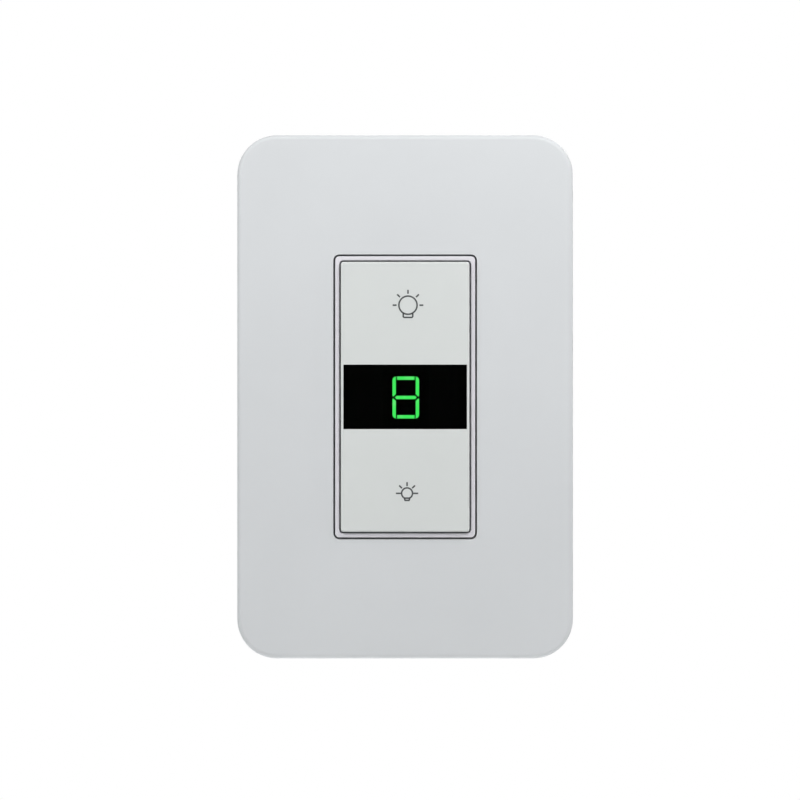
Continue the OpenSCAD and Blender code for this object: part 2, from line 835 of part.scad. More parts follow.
module switch_terminals() {
    color([0.8, 0.8, 0.78]) at_switch_legs() square_pin(leg_d, board_y, board_back + lead_out);
}

module switch_plunger(z) {
    color([0.9, 0.9, 0.88])
    translate([0, 0, z]) {
        round_y(plunger_d, plunger_top, collar_front + 0.1);
        round_y(collar_d, collar_front, spring_front);
        round_y(guide_d, spring_front - 0.1, spring_front + 1);
    }
}

module upper_switch_plunger() switch_plunger(switch_z);

module lower_switch_plunger() switch_plunger(-switch_z);

// A wire swept along a helix about Y. Its pitch eases to nothing over the first and last half
// turn, so that the spring stands flat at both ends.
module switch_spring(z) {
    steps = 12 * spring_turns;
    sides = 8;
    ease = 6;
    length = spring_back - spring_front - wire_d;
    function climb(k) = k <= 0 ? 0 : climb(k - 1) + min(1, k / ease, (steps - k + 1) / ease);
    points = [
        for (k = [0:steps], m = [0:sides - 1])
            let (turn = 30 * k, round = 360 * m / sides, r = spring_r + wire_d / 2 * cos(round))
            [
                r * cos(turn),
                spring_front + wire_d / 2 + length * climb(k) / climb(steps) + wire_d / 2 * sin(round),
                r * sin(turn)
            ]
    ];
    color([0.75, 0.75, 0.76])
    translate([0, 0, z])
        polyhedron(points, concat(
            [[for (m = [0:sides - 1]) m]],
            [[for (m = [sides - 1:-1:0]) steps * sides + m]],
            [for (k = [0:steps - 1], m = [0:sides - 1]) let (n = (m + 1) % sides)
                [k * sides + m, (k + 1) * sides + m, (k + 1) * sides + n, k * sides + n]]
        ));
}

module upper_switch_spring() switch_spring(switch_z);

module lower_switch_spring() switch_spring(-switch_z);

module header_blocks() {
    color([0.12, 0.12, 0.13])
    for (y = [board_back, power_y - header_w])
        difference() {
            translate([header_x - header_l / 2, y, header_z - header_w / 2])
                cube([header_l, header_w, header_w]);
            at_header_pins() square_pin(header_pin_w, y - cut, y + header_w + cut);
        }
}

module header_pins() {
    color([0.85, 0.72, 0.35]) at_header_pins() square_pin(header_pin_w, board_y - 0.8, lead_end);
}

module at_terminals() {
    for (t = terminals) translate([0, 0, t[1]]) mirror([t[0] < 0 ? 1 : 0, 0, 0]) children();
}

module power_board() {
    color([0.1, 0.36, 0.24])
    difference() {
        union() {
            deep(power_y, power_back) panel(power_w, board_h, 1);
            deep(power_y, power_back)
                translate([-tongue_w / 2, 0]) square([tongue_w, lead_z + 2]);
        }
        at_header_pins() square_pin(header_pin_w + 2 * lead_gap, power_y - cut, power_back + cut);
        for (k = [-1:1])
            translate([k * lead_pitch, 0, lead_z])
                square_pin(triac_lead_w + 2 * lead_gap, power_y - cut, power_back + cut);
        at_terminals()
            translate([leg_x - strip_t - lead_gap, power_y - cut, -leg_w / 2 - lead_gap])
                cube([strip_t + 2 * lead_gap, board_t + 2 * cut, leg_w + 2 * lead_gap]);
    }
}

module triac_body() {
    color([0.15, 0.15, 0.16])
    translate([-triac_w / 2, triac_split, triac_z - triac_body_t])
        cube([triac_w, triac_back - triac_split, triac_body_t]);
}

module triac_leadframe() {
    color([0.7, 0.7, 0.72]) {
        difference() {
            translate([-triac_w / 2, triac_front, triac_z])
                cube([triac_w, triac_back - triac_front - triac_cover, triac_plate_t]);
            translate([0, tab_screw_y, triac_z - cut])
                cylinder(d = triac_hole_d, h = triac_plate_t + 2 * cut);
        }
        for (k = [-1:1])
            translate([k * lead_pitch, 0, lead_z]) square_pin(triac_lead_w, triac_back, lead_end);
    }
}

module thermal_pad() {
    color([0.75, 0.72, 0.7])
    difference() {
        translate([-triac_w / 2 - 0.8, triac_front - 0.8, tab_z - pad_t])
            cube([triac_w + 1.6, tab_l - triac_front, pad_t]);
        translate([0, tab_screw_y, tab_z - pad_t - cut]) cylinder(d = triac_hole_d, h = pad_t + 2 * cut);
    }
}

module triac_screw() {
    color([0.68, 0.68, 0.7])
    translate([0, tab_screw_y, triac_z]) rotate([0, -90, 0]) side_screw(m3_d, 5.5, 2, 4.2);
}

module choke_core() {
    color([0.3, 0.32, 0.3])
    translate([choke_x, choke_y, choke_z]) rotate([-90, 0, 0])
        rotate_extrude() translate([choke_r, 0]) circle(core_r);
}

module choke_winding() {
    color([0.72, 0.4, 0.2])
    translate([choke_x, choke_y, choke_z])
        for (k = [0:choke_turns - 1])
            rotate([0, k * 360 / choke_turns, 0])
                translate([choke_r, 0, 0])
                    rotate_extrude()
                        translate([core_r + choke_wire_gap + choke_wire_d / 2, 0])
                            circle(d = choke_wire_d);
}

module film_capacitor() {
    color([0.85, 0.68, 0.2])
    translate([film_place[0], 0, film_place[1]])
        deep(power_y - film_size[1], power_y) panel(film_size[0], film_size[2], 0.8);
}

// A can with a rolled groove near its base
module electrolytic_capacitor() {
    color([0.2, 0.24, 0.35])
    translate([can_x, 0, row_z])
        difference() {
            round_y(can_d, power_y - can_l, power_y);
            translate([0, power_y - 2, 0]) rotate([-90, 0, 0])
                rotate_extrude() translate([can_d / 2 + 0.2, 0]) circle(can_groove_r);
        }
}

// A ceramic tube with two metal caps, lying on the board
module fuse() {
    color([0.8, 0.78, 0.7])
    translate([fuse_x, power_y - fuse_d / 2, row_z - fuse_l / 2]) {
        cylinder(d = fuse_d - 0.6, h = fuse_l);
        for (z = [0, fuse_l - 2]) translate([0, 0, z]) cylinder(d = fuse_d, h = 2);
    }
}

// A dipped disc that stands on two leads
module varistor() {
    color([0.2, 0.35, 0.65])
    translate([varistor_x, power_y - varistor_d / 2, row_z]) {
        round_x(varistor_d - 2 * varistor_edge_r, -varistor_t / 2, varistor_t / 2);
        rotate([0, 90, 0]) rotate_extrude() {
            translate([varistor_d / 2 - varistor_edge_r, 0]) circle(varistor_edge_r);
            translate([0, -varistor_edge_r]) square([varistor_d / 2 - varistor_edge_r, 2 * varistor_edge_r]);
        }
        for (s = [-1, 1]) translate([0, 0, s * 2.5]) round_y(0.8, 0, varistor_d / 2);
    }
}

// Folded strips that lead from the screws to the power board
module terminal_strips() {
    color([0.82, 0.68, 0.35])
    at_terminals()
        difference() {
            union() {
                translate([strip_x, pocket_front + 0.2, -plate_l / 2])
                    cube([strip_t, strip_back - pocket_front - 0.2, plate_l]);
                translate([leg_x - strip_t, strip_back - strip_t, -leg_w / 2])
                    cube([strip_x + strip_t - leg_x + strip_t, strip_t, leg_w]);
                translate([leg_x - strip_t, strip_back - strip_t, -leg_w / 2])
                    cube([strip_t, lead_end - strip_back + strip_t, leg_w]);
            }
            translate([0, terminal_y, 0])
                round_x(terminal_screw_d + 0.1, strip_x - cut, strip_x + strip_t + cut);
        }
}

module terminal_clamps() {
    color([0.8, 0.8, 0.8])
    at_terminals()
        difference() {
            translate([clamp_x, terminal_y - clamp_w / 2, -clamp_w / 2]) cube([clamp_t, clamp_w, clamp_w]);
            translate([0, terminal_y, 0])
                round_x(terminal_screw_d + 0.5, clamp_x - cut, clamp_x + clamp_t + cut);
        }
}

module terminal_screws() {
    color([0.85, 0.7, 0.35])
    at_terminals()
        translate([clamp_x + clamp_t, terminal_y, 0])
            mirror([1, 0, 0])
                side_screw(terminal_screw_d, terminal_head_d, terminal_head_t, terminal_screw_l);
}

// The box behind the strap: walls, screw tubes, terminal pockets, ledges and stands
module rear_housing() {
    color([0.16, 0.16, 0.17])
    difference() {
        union() {
            housing_shell();
            at_housing_screws() round_y(tube_d, sheet_t, body_floor + 0.1);
            for (place = [[-stand_x, -stand_z], [stand_x, -stand_z], [0, stand_z]])
                translate([place[0], 0, place[1]]) round_y(stand_d, power_back, body_floor + 0.1);
            for (s = [0, 1], z = [-1, 0, 1]) mirror([s, 0, 0])
                translate([ledge_in, board_back, z * ledge_z - ledge_w / 2])
                    cube([body_w / 2 - 0.8 - ledge_in, body_floor - board_back + 0.1, ledge_w]);
            at_terminals()
                translate([strip_x - pocket_wall, pocket_front - pocket_wall, -pocket_out_w / 2])
                    cube([pocket_in, body_end - body_edge_r - pocket_front, pocket_out_w]);
            translate([-body_w / 2 + 1, sheet_t, -body_h / 2 + 1])
                cube([
                    ground_pocket + pocket_wall - 1,
                    ground_room + pocket_wall,
                    ground_top + pocket_wall - 1
                ]);
        }
        at_housing_screws() {
            round_y(long_screw_d + 0.5, -cut, body_end + cut);
            round_y(long_head_d + 0.6, sheet_t + post_seat, body_end + cut);
        }
        at_terminals() {
            translate([strip_x, pocket_front, -pocket_w / 2])
                cube([pocket_in + cut, body_end, pocket_w]);
            translate([strip_x - pocket_wall - cut, pocket_front - pocket_wall - cut, -slot_w / 2])
                cube([pocket_wall + 2 * cut, strip_back - pocket_front + pocket_wall + cut + 0.1, slot_w]);
        }
        translate([-body_w / 2 - cut, -cut, -body_h / 2 - cut])
            cube([ground_pocket + cut, ground_room + cut, ground_top + cut]);
    }
}

module housing_shell() {
    difference() {
        translate([0, body_end, 0]) mirror([0, 1, 0])
            soft_block(body_w, body_h, body_corner_r, body_edge_r, 0, body_d);
        deep(sheet_t - cut, body_floor)
            panel(body_w - 2 * body_wall, body_h - 2 * body_wall, body_corner_r - body_wall);
    }
}

// Long screws from the bottom of the housing's tubes into the frame's bosses
module housing_screws() {
    head_y = sheet_t + post_seat;
    color([0.68, 0.68, 0.7])
    at_housing_screws()
        difference() {
            union() {
                round_y(long_screw_d, floor_front - 0.8, head_y + 0.1);
                round_y(long_head_d, head_y, head_y + 1.8);
            }
            for (a = [0, 90]) rotate([0, a, 0])
                translate([-1.5, head_y + 0.8, -0.35]) cube([3, 1 + cut, 0.7]);
        }
}

// The rocking paddle: front wall, skirt, pivot lugs and pins, feet and ribs
module paddle() {
    in_w = paddle_w - 2 * skirt_t;
    in_h = paddle_h - 2 * skirt_t;
    rib_z = lens_h / 2 + lens_flange_lap + 0.9;
    color([0.87, 0.88, 0.87])
    difference() {
        union() {
            difference() {
                soft_block(paddle_w, paddle_h, paddle_corner_r, paddle_edge_r, paddle_front, skirt_back);
                deep(paddle_back, cut) square([in_w, in_h], center = true);
            }
            for (s = [0, 1]) mirror([s, 0, 0]) {
                translate([in_w / 2, paddle_back, -lug_h / 2])
                    cube([skirt_t, lug_back - paddle_back, lug_h]);
                translate([0, pivot_y, 0]) round_x(pin_d, post_in + 0.2, in_w / 2 + 0.2);
            }
            for (s = [0, 1]) mirror([0, 0, s]) {
                translate([0, paddle_back, switch_z]) round_x(2 * foot_r, -foot_w / 2, foot_w / 2);
                for (x = [-rib_x, rib_x])
                    translate([x - rib_t / 2, paddle_back - 0.1, rib_z])
                        cube([rib_t, 0.9, in_h / 2 - rib_z + 0.1]);
            }
        }
        deep(paddle_front - cut, paddle_back + 0.2) square([lens_w, lens_h], center = true);
    }
}

// The smoked window, flush with the paddle, with a flange above and below behind the wall
module display_lens() {
    color([0.03, 0.03, 0.04]) {
        deep(paddle_front, paddle_back)
            square([lens_w - 2 * lens_hold, lens_h - 2 * lens_hold], center = true);
        deep(paddle_back, paddle_back + lens_flange_t)
            square([lens_flange_w, lens_h + 2 * lens_flange_lap], center = true);
    }
}

wall_plate();
sub_plate();
plate_screws();
strap();
ground_screw();
front_frame();
insulating_sheet();
control_board();
display_case();
display_segments();
display_pins();
control_chip();
upper_switch_case();
lower_switch_case();
switch_terminals();
header_blocks();
header_pins();
power_board();
triac_body();
triac_leadframe();
thermal_pad();
triac_screw();
choke_core();
choke_winding();
film_capacitor();
electrolytic_capacitor();
fuse();
varistor();
terminal_strips();
terminal_screws();
terminal_clamps();
rear_housing();
housing_screws();
paddle();
display_lens();
upper_switch_plunger();
lower_switch_plunger();
upper_switch_spring();
lower_switch_spring();
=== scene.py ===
import math

import bmesh
import bpy
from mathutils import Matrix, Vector


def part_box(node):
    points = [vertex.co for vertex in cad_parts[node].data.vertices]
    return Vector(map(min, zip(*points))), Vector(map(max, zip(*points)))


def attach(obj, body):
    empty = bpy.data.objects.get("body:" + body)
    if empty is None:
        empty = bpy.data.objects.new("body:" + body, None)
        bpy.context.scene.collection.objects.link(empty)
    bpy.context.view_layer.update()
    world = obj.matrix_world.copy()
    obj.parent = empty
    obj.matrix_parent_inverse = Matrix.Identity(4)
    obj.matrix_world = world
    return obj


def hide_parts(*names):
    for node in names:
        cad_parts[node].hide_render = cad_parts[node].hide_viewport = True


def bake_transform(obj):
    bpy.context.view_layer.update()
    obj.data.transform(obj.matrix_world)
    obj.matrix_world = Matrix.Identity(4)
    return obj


bl_info = {
    "name": "Digital Dimmer Switch",
    "version": (1, 0, 0),
    "blender": (4, 5, 0),
    "location": "View3D > Sidebar > Dimmer",
    "description": "Finishes and lights a wall dimmer with a rocking paddle and a smoked digit window",
    "category": "Object",
}

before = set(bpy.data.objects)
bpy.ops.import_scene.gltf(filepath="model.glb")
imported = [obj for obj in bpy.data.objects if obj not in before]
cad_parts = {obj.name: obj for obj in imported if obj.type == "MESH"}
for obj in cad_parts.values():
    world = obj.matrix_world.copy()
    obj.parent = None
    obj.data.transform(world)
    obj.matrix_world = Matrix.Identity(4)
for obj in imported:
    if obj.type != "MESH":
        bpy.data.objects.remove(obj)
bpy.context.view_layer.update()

MM = 0.001
PADDLE_LOW, PADDLE_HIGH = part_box("paddle")
PLATE_LOW, PLATE_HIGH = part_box("wall_plate")

# Where the photograph shows the wall plate, in its own 800 by 800 pixels
PHOTO_SIZE = 800
PLATE_LEFT_PX, PLATE_RIGHT_PX = 237.1, 573.2
PLATE_TOP_PX, PLATE_BOTTOM_PX = 135.0, 658.7
SENSOR = 36.0


class DimmerColours(bpy.types.PropertyGroup):
    """Colours of the finishes"""

    plate: bpy.props.FloatVectorProperty(
        name="Wall plate", description="Colour of the wall plate's plastic",
        subtype="COLOR", size=3, min=0, max=1, default=(0.613, 0.632, 0.646))
    paddle: bpy.props.FloatVectorProperty(
        name="Paddle", description="Colour of the paddle's plastic",
        subtype="COLOR", size=3, min=0, max=1, default=(0.635, 0.66, 0.65))
    rim: bpy.props.FloatVectorProperty(
        name="Front frame", description="Colour of the frame round the paddle",
        subtype="COLOR", size=3, min=0, max=1, default=(0.695, 0.685, 0.725))
    ink: bpy.props.FloatVectorProperty(
        name="Bulb marks", description="Colour of the ink of the two bulb marks",
        subtype="COLOR", size=3, min=0, max=1, default=(0.05, 0.055, 0.056))
    window: bpy.props.FloatVectorProperty(
        name="Window", description="Colour of the smoked window",
        subtype="COLOR", size=3, min=0, max=1, default=(0.02, 0.02, 0.022))
    digit: bpy.props.FloatVectorProperty(
        name="Digit", description="Colour of the lit bars",
        subtype="COLOR", size=3, min=0, max=1, default=(0.057, 0.87, 0.11))
    digit_pale: bpy.props.FloatVectorProperty(
        name="Pale spots", description="Colour of the paler spots of the lit bars",
        subtype="COLOR", size=3, min=0, max=1, default=(0.16, 0.86, 0.2))
    digit_glow: bpy.props.FloatProperty(
        name="Glow", description="Strength of the lit bars behind the smoked window",
        default=46, min=0, max=200)
    housing: bpy.props.FloatVectorProperty(
        name="Rear housing", description="Colour of the box behind the strap",
        subtype="COLOR", size=3, min=0, max=1, default=(0.022, 0.022, 0.025))
    # Painted shade: the strap is set much darker than bare aluminium so that the gaps round the frame,
    # where it shows, look shaded
    strap: bpy.props.FloatVectorProperty(
        name="Mounting strap", description="Colour of the aluminium strap",
        subtype="COLOR", size=3, min=0, max=1, default=(0.4, 0.405, 0.415))


class DimmerMarks(bpy.types.PropertyGroup):
    """Sizes of the printed marks"""

    upper_ring: bpy.props.FloatProperty(
        name="Upper bulb", description="Diameter of the large bulb along the middle of its line",
        unit="LENGTH", default=4.3 * MM, min=2 * MM, max=8 * MM)
    lower_ring: bpy.props.FloatProperty(
        name="Lower bulb", description="Diameter of the small bulb along the middle of its line",
        unit="LENGTH", default=2.57 * MM, min=1.5 * MM, max=6 * MM)
    stroke: bpy.props.FloatProperty(
        name="Stroke", description="Width of the printed lines",
        unit="LENGTH", default=0.37 * MM, min=0.1 * MM, max=0.8 * MM)
    ray: bpy.props.FloatProperty(
        name="Ray", description="Length of the rays round a bulb",
        unit="LENGTH", default=0.93 * MM, min=0.3 * MM, max=2 * MM)
    ink_height: bpy.props.FloatProperty(
        name="Ink height", description="How far the ink stands on the plastic",
        unit="LENGTH", default=0.02 * MM, min=0.005 * MM, max=0.1 * MM)


class DimmerSprings(bpy.types.PropertyGroup):
    """Sizes of the springs inside the push switches"""

    wire: bpy.props.FloatProperty(
        name="Wire", description="Diameter of the spring wire",
        unit="LENGTH", default=0.3 * MM, min=0.1 * MM, max=0.6 * MM)
    turns: bpy.props.IntProperty(
        name="Turns", description="Full turns of each spring",
        default=4, min=2, max=8)


class DimmerStage(bpy.types.PropertyGroup):
    """Camera, floor and lights"""

    lens: bpy.props.FloatProperty(
        name="Focal length", description="Focal length of the camera in millimetres",
        unit="CAMERA", default=200, min=50, max=300)
    floor_drop: bpy.props.FloatProperty(
        name="Floor drop", description="Depth of the floor below the middle of the plate",
        unit="LENGTH", default=0.112, min=0.07, max=0.5)
    floor_glow: bpy.props.FloatProperty(
        name="Floor glow", description="How much lighter the camera sees the floor",
        default=0.2, min=0, max=1)
    key_power: bpy.props.FloatProperty(
        name="Key light", description="Power of the lamp above the front's right, in watts",
        unit="POWER", default=0.815, min=0, max=200)
    ambient: bpy.props.FloatProperty(
        name="Ambient light", description="Strength of the even light from all round",
        default=0.145, min=0, max=2)


# Materials

class Finish:
    """A material's node tree, with short calls for the nodes that the finishes share"""

    def __init__(self, name, colour, roughness, metallic=0.0):
        self.material = bpy.data.materials.new(name)
        self.material.use_nodes = True
        self.tree = self.material.node_tree
        self.shader = self.tree.nodes["Principled BSDF"]
        self.colour = tuple(colour)
        self.shader.inputs["Base Color"].default_value = (*colour, 1)
        self.shader.inputs["Roughness"].default_value = roughness
        self.shader.inputs["Metallic"].default_value = metallic
        self.place = self.add("ShaderNodeTexCoord").outputs["Object"]

    def add(self, kind, **settings):
        node = self.tree.nodes.new(kind)
        for key, value in settings.items():
            setattr(node, key, value)
        return node

    def join(self, source, target):
        self.tree.links.new(source, target)

    def stretch(self, scale):
        """The surface's own coordinates, with each axis scaled by itself"""
        mapping = self.add("ShaderNodeMapping")
        mapping.inputs["Scale"].default_value = scale
        self.join(self.place, mapping.inputs["Vector"])
        return mapping.outputs["Vector"]

    def noise(self, scale, detail, vector=None):
        node = self.add("ShaderNodeTexNoise")
        node.inputs["Scale"].default_value = scale
        node.inputs["Detail"].default_value = detail
        self.join(vector or self.place, node.inputs["Vector"])
        return node.outputs["Fac"]

    def ranged(self, value, low, high, start=0.3, end=0.7):
        """Spreads the part of a texture between start and end over low to high"""
        node = self.add("ShaderNodeMapRange")
        node.inputs["From Min"].default_value = start
        node.inputs["From Max"].default_value = end
        node.inputs["To Min"].default_value = low
        node.inputs["To Max"].default_value = high
        self.join(value, node.inputs["Value"])
        return node.outputs["Result"]

    def tint(self, value, darker, lighter):
        """Lets the colour drift between a darker and a lighter tone of itself"""
        mix = self.add("ShaderNodeMix", data_type="RGBA")
        mix.inputs["A"].default_value = (*(c * darker for c in self.colour), 1)
        mix.inputs["B"].default_value = (*(min(1, c * lighter) for c in self.colour), 1)
        self.join(value, mix.inputs["Factor"])
        self.join(mix.outputs["Result"], self.shader.inputs["Base Color"])
        return mix.outputs["Result"]

    def drift(self, scale, detail, darker, lighter):
        """Lets the colour drift in soft patches"""
        return self.tint(self.ranged(self.noise(scale, detail), 0, 1), darker, lighter)

    def rough(self, value, low, high):
        self.join(self.ranged(value, low, high), self.shader.inputs["Roughness"])

    def bump(self, value, depth, strength):
        node = self.add("ShaderNodeBump")
        node.inputs["Distance"].default_value = depth
        node.inputs["Strength"].default_value = strength
        self.join(value, node.inputs["Height"])
        self.join(node.outputs["Normal"], self.shader.inputs["Normal"])


def moulded_plastic(name, colour, roughness):
    """Satin injection-moulded plastic: a fine grain, and a colour that drifts a little"""
    finish = Finish(name, colour, roughness)
    finish.drift(scale=38, detail=3, darker=0.985, lighter=1.01)
    finish.rough(finish.noise(210, 3), roughness - 0.04, roughness + 0.05)
    finish.bump(finish.noise(2600, 2), 0.006 * MM, strength=0.35)
    return finish


def sparked_plastic(name, colour, roughness):
    """Plastic from a spark-eroded mould: an even, pebbly grain"""
    finish = Finish(name, colour, roughness)
    pebbles = finish.add("ShaderNodeTexVoronoi")
    pebbles.inputs["Scale"].default_value = 2400
    finish.join(finish.place, pebbles.inputs["Vector"])
    finish.drift(scale=160, detail=4, darker=0.9, lighter=1.12)
    finish.rough(finish.noise(300, 3), roughness - 0.04, roughness + 0.05)
    finish.bump(pebbles.outputs["Distance"], 0.03 * MM, strength=0.5)
    return finish


def rolled_metal(name, colour, roughness):
    """Rolled sheet: fine lines that run up and down, and faint stains"""
    finish = Finish(name, colour, roughness, metallic=1.0)
    lines = finish.noise(1, 3, finish.stretch((2600, 2600, 60)))
    finish.drift(scale=55, detail=5, darker=0.88, lighter=1.05)
    finish.rough(lines, roughness - 0.08, roughness + 0.12)
    finish.bump(lines, 0.006 * MM, strength=0.4)
    return finish


def plated_metal(name, colour, roughness):
    """Plated or turned small metal: bright, with faint marks of handling"""
    finish = Finish(name, colour, roughness, metallic=1.0)
    finish.drift(scale=420, detail=4, darker=0.92, lighter=1.04)
    finish.rough(finish.noise(900, 3), roughness - 0.05, roughness + 0.08)
    finish.bump(finish.noise(1800, 2), 0.004 * MM, strength=0.25)
    return finish


def dress(finish, *nodes):
    """Gives CAD nodes their finish"""
    for node in nodes:
        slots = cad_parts[node].data.materials
        slots.clear()
        slots.append(finish.material)


def new_piece(name, fill):
    """An object from a function that fills a bmesh"""
    shape = bmesh.new()
    fill(shape)
    bmesh.ops.recalc_face_normals(shape, faces=shape.faces)
    mesh = bpy.data.meshes.new(name)
    shape.to_mesh(mesh)
    shape.free()
    piece = bpy.data.objects.new(name, mesh)
    bpy.context.scene.collection.objects.link(piece)
    return piece


# The printed bulb marks, with lengths in millimetres. Centres are measured from the middle of the
# paddle. A flat neck closes the ring above its base. The gaps lie between the ring and its rays,
# and the two level rays have a gap of their own.

UPPER_BULB = {
    "centre": (0.67, 21.66),
    "base_top": 2.22,
    "base_low": 2.26,
    "base_depth": 1.05,
    "base_corner": 0.3,
    "flat_neck": False,
    "gap": 0.36,
    "level_gap": 0.36,
}
LOWER_BULB = {
    "centre": (0.45, -22.8),
    "base_top": 1.24,
    "base_low": 0.98,
    "base_depth": 0.54,
    "base_corner": 0.06,
    "flat_neck": True,
    "gap": 0.24,
    "level_gap": 0,
}


def ribbon(shape, path, width, y_back, y_front, closed=False):
    """A printed line of even width along points in the plane of the front, mitred at its corners"""
    sharpest_mitre = 0.4
    points = [Vector(p) for p in path]
    count = len(points)
    rings = []
    for i, point in enumerate(points):
        before = points[i - 1] if i or closed else point
        after = points[(i + 1) % count] if i < count - 1 or closed else point
        first = (point - before).normalized() if point != before else (after - point).normalized()
        second = (after - point).normalized() if point != after else first
        along = (first + second).normalized()
        side = Vector((-along.y, along.x))
        reach = width / 2 / max(sharpest_mitre, side.dot(Vector((-first.y, first.x))))
        left, right = point + side * reach, point - side * reach
        rings.append([
            shape.verts.new((left.x, y_back, left.y)), shape.verts.new((left.x, y_front, left.y)),
            shape.verts.new((right.x, y_front, right.y)), shape.verts.new((right.x, y_back, right.y)),
        ])
    for i in range(count if closed else count - 1):
        here, there = rings[i], rings[(i + 1) % count]
        for k in range(4):
            shape.faces.new((here[k], there[k], there[(k + 1) % 4], here[(k + 1) % 4]))
    if not closed:
        shape.faces.new(rings[0])
        shape.faces.new(rings[-1])


def arc(centre, radius, start, end, steps):
    """Points along a part of a circle, from one angle to another in degrees"""
    angles = [math.radians(start + (end - start) * k / steps) for k in range(steps + 1)]
    return [(centre[0] + radius * math.cos(a), centre[1] + radius * math.sin(a)) for a in angles]


def bulb_mark(name, bulb, ring, marks):
    """A bulb outline with five rays: a ring, a base below it and the rays above"""
    ink_depth = 0.01 * MM
    y_back, y_front = PADDLE_LOW.y + ink_depth, PADDLE_LOW.y - marks.ink_height
    radius = ring / 2
    centre = Vector(bulb["centre"]) * MM
    top_half, low_half = bulb["base_top"] / 2 * MM, bulb["base_low"] / 2 * MM
    corner = bulb["base_corner"] * MM
    dip = math.degrees(math.asin(top_half / radius))
    top = centre.y - radius * math.cos(math.radians(dip))
    low = top - bulb["base_depth"] * MM

    def fill(shape):
        def draw(path, closed=False):
            ribbon(shape, path, marks.stroke, y_back, y_front, closed)

        neck_left, neck_right = (centre.x - top_half, top), (centre.x + top_half, top)
        if bulb["flat_neck"]:
            draw(arc(centre, radius, dip - 90, 270 - dip, 64))
            draw([neck_left, neck_right])
        else:
            draw(arc(centre, radius, 0, 360, 72)[:-1], closed=True)
        left, right = centre.x - low_half + corner, centre.x + low_half - corner
        left_corner = arc((left, low + corner), corner, 180, 270, 6)
        right_corner = arc((right, low + corner), corner, 270, 360, 6)
        draw([neck_left, *left_corner, *right_corner, neck_right])
        ring_edge = radius + marks.stroke / 2
        for degrees in (0, 45, 90, 135, 180):
            out = Vector((math.cos(math.radians(degrees)), math.sin(math.radians(degrees))))
            gap = bulb["level_gap"] if degrees in (0, 180) else bulb["gap"]
            start = ring_edge + gap * MM
            end = ring_edge + bulb["gap"] * MM + marks.ray
            draw([centre + out * start, centre + out * end])

    return new_piece(name, fill)


class DIMMER_OT_white_plastics(bpy.types.Operator):
    """Finish the wall plate, sub-plate, front frame and paddle"""

    bl_idname = "dimmer.white_plastics"
    bl_label = "White Plastics"

    def execute(self, context):
        colours = context.scene.dimmer_colours
        # Painted shade: the sub-plate is set a little darker than the wall plate so that the gaps round
        # the frame look shaded
        shade_darkened_sub_plate = [c * 0.93 for c in colours.plate]
        dress(moulded_plastic("satin_plate_plastic", colours.plate, 0.55), "wall_plate")
        dress(moulded_plastic("sub_plate_plastic", shade_darkened_sub_plate, 0.45), "sub_plate")
        dress(moulded_plastic("frame_plastic", colours.rim, 0.32), "front_frame")
        dress(moulded_plastic("paddle_plastic", colours.paddle, 0.33), "paddle")
        return {"FINISHED"}


class DIMMER_OT_window(bpy.types.Operator):
    """Finish the smoked window over the digit, with a low index so that it doesn't mirror the room"""

    bl_idname = "dimmer.window"
    bl_label = "Smoked Window"

    def execute(self, context):
        smoked = Finish("smoked_acrylic", context.scene.dimmer_colours.window, 0.03)
        smoked.shader.inputs["Transmission Weight"].default_value = 1.0
        smoked.shader.inputs["IOR"].default_value = 1.05
        smoked.drift(scale=60, detail=2, darker=0.96, lighter=1.04)
        smoked.rough(smoked.noise(160, 3), 0.02, 0.05)
        dress(smoked, "display_lens")
        return {"FINISHED"}


class DIMMER_OT_display(bpy.types.Operator):
    """Finish the display module, and light its digit so that it shows through the smoked window"""

    bl_idname = "dimmer.display"
    bl_label = "Lit Digit"

    def execute(self, context):
        colours = context.scene.dimmer_colours
        bars = Finish("lit_bars", colours.digit, 0.4)
        bar_glow = bars.drift(scale=900, detail=2, darker=0.97, lighter=1.03)
        pale_spots = bars.add("ShaderNodeMix", data_type="RGBA")
        pale_spots.inputs["B"].default_value = (*colours.digit_pale, 1)
        bars.join(bars.ranged(bars.noise(620, 1), 0, 0.7, 0.5, 0.75), pale_spots.inputs["Factor"])
        bars.join(bar_glow, pale_spots.inputs["A"])
        bars.join(pale_spots.outputs["Result"], bars.shader.inputs["Emission Color"])
        bars.shader.inputs["Emission Strength"].default_value = colours.digit_glow
        dress(bars, "display_segments")
        dress(sparked_plastic("display_black", (0.006, 0.006, 0.007), 0.6), "display_case")
        dress(plated_metal("display_tin", (0.7, 0.7, 0.66), 0.3), "display_pins")
        return {"FINISHED"}


class DIMMER_OT_bulb_marks(bpy.types.Operator):
    """Print the large bulb above the window and the small one below it"""

    bl_idname = "dimmer.bulb_marks"
    bl_label = "Bulb Marks"

    def execute(self, context):
        marks = context.scene.dimmer_marks
        ink = Finish("printed_ink", context.scene.dimmer_colours.ink, 0.5)
        ink.drift(scale=1500, detail=3, darker=0.85, lighter=1.25)
        ink.rough(ink.noise(2500, 2), 0.4, 0.6)
        upper = bulb_mark("upper_bulb_mark", UPPER_BULB, marks.upper_ring, marks)
        lower = bulb_mark("lower_bulb_mark", LOWER_BULB, marks.lower_ring, marks)
        for piece in (upper, lower):
            piece.data.materials.append(ink.material)
            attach(piece, "paddle")
        return {"FINISHED"}


